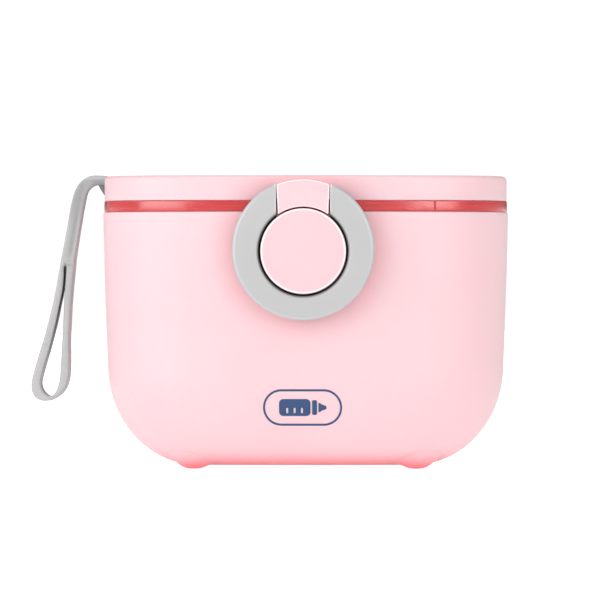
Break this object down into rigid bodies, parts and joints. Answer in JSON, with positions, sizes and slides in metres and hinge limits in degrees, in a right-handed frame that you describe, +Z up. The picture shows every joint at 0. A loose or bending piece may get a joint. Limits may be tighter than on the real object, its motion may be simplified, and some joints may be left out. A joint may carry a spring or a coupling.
{
  "type": "formula dispenser",
  "caption": "Squat pink travel tub for milk powder with a hinged lid, swinging ring latch, levelling frame, clipped scoop and side carry strap.",
  "frame": {"origin": "centre of the tub's flat underside", "axes": "+Z up, -Y is the front with the ring latch, +X is to the right seen from the front, and the strap hangs on the -X side"},
  "size_m": [0.1771, 0.1191, 0.1083],
  "materials": {
    "shell_pink": "satin moulded plastic",
    "ring_grey": "satin moulded plastic",
    "strap_grey": "matte silicone",
    "frame_red": "glossy translucent",
    "seal_white": "soft silicone",
    "liner_white": "smooth food-grade plastic",
    "pin_steel": "drawn steel"
  },
  "bodies": {
    "tub": {"tub": "shell_pink", "foot_front_left": "shell_pink", "foot_front_right": "shell_pink", "foot_rear_left": "shell_pink", "foot_rear_right": "shell_pink", "catch_boss": "shell_pink", "leveller_frame": "frame_red", "frame_seal": "seal_white", "hinge_pin": "pin_steel"},
    "lid": {"lid_shell": "shell_pink", "lid_liner": "liner_white", "lid_gasket": "seal_white", "latch_pin": "pin_steel", "strap_anchor": "strap_grey"},
    "latch_ring": {"latch_ring": "ring_grey"},
    "strap": {"carry_strap": "strap_grey"},
    "scoop": {"scoop": "liner_white"}
  },
  "joints": [
    {"name": "lid_hinge", "type": "hinge", "parent": "tub", "child": "lid", "pos_m": [0, 0.0564, 0.097], "axis": [-1, 0, 0], "range_deg": [0, 110]},
    {"name": "latch_pivot", "type": "hinge", "parent": "lid", "child": "latch_ring", "pos_m": [0, -0.057, 0.09856], "axis": [-1, 0, 0], "range_deg": [0, 105]},
    {"name": "strap_flex", "type": "hinge", "parent": "lid", "child": "strap", "pos_m": [-0.0785, 0, 0.10525], "axis": [0, 1, 0], "range_deg": [-10, 95], "stiffness_Nm_per_rad": 0.02, "springref_deg": 1.89},
    {"name": "scoop_release", "type": "slide", "parent": "lid", "child": "scoop", "axis": [0, 0, -1], "range_m": [0, 0.04]}
  ]
}
